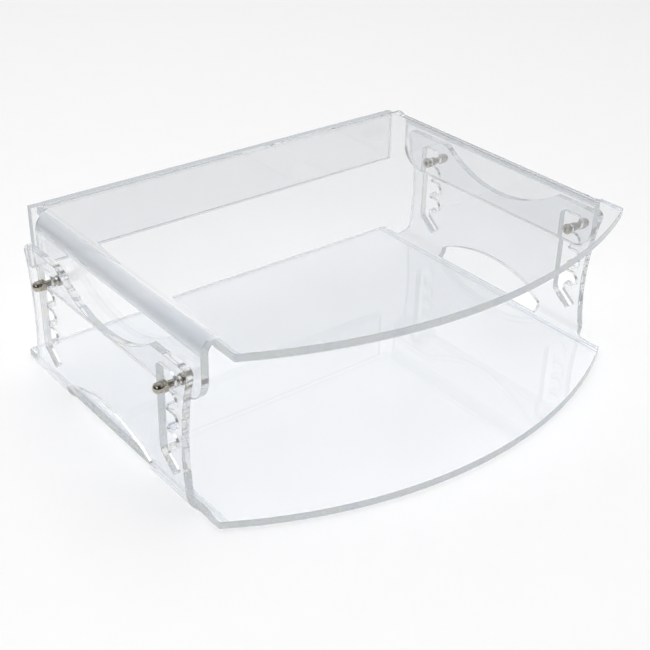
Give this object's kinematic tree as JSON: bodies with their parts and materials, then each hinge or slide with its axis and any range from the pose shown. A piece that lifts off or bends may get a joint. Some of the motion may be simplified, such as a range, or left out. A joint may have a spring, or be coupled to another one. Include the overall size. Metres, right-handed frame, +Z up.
{
  "type": "letter tray",
  "caption": "Clear acrylic two-level letter tray: a bent upper shelf hung by domed pins in stepped slots of a bent base with upright side walls.",
  "frame": {"origin": "centre of the base's footprint, on the surface the tray stands on", "axes": "+Z up, +Y to the rear (the straight edges), -Y to the bowed front edges, +X to the right"},
  "size_m": [0.3444, 0.2686, 0.113],
  "materials": {
    "acrylic_lower": "clear polished",
    "acrylic_upper": "clear polished",
    "acrylic_panel": "clear polished",
    "nickel_screw": "polished nickel",
    "nickel_sleeve": "polished nickel",
    "nickel_nut": "polished nickel"
  },
  "bodies": {
    "base": {"lower_tray": "acrylic_lower"},
    "tray": {"upper_tray": "acrylic_upper", "rear_panel": "acrylic_panel", "screw_front_left": "nickel_screw", "screw_front_right": "nickel_screw", "screw_rear_left": "nickel_screw", "screw_rear_right": "nickel_screw", "sleeve_front_left": "nickel_sleeve", "sleeve_front_right": "nickel_sleeve", "sleeve_rear_left": "nickel_sleeve", "sleeve_rear_right": "nickel_sleeve", "dome_nut_front_left": "nickel_nut", "dome_nut_front_right": "nickel_nut", "dome_nut_rear_left": "nickel_nut", "dome_nut_rear_right": "nickel_nut"}
  },
  "joints": [
    {"name": "tray_lift", "type": "slide", "parent": "base", "child": "tray", "axis": [0, 0.9511, 0.309], "range_m": [0, 0.0115]}
  ]
}
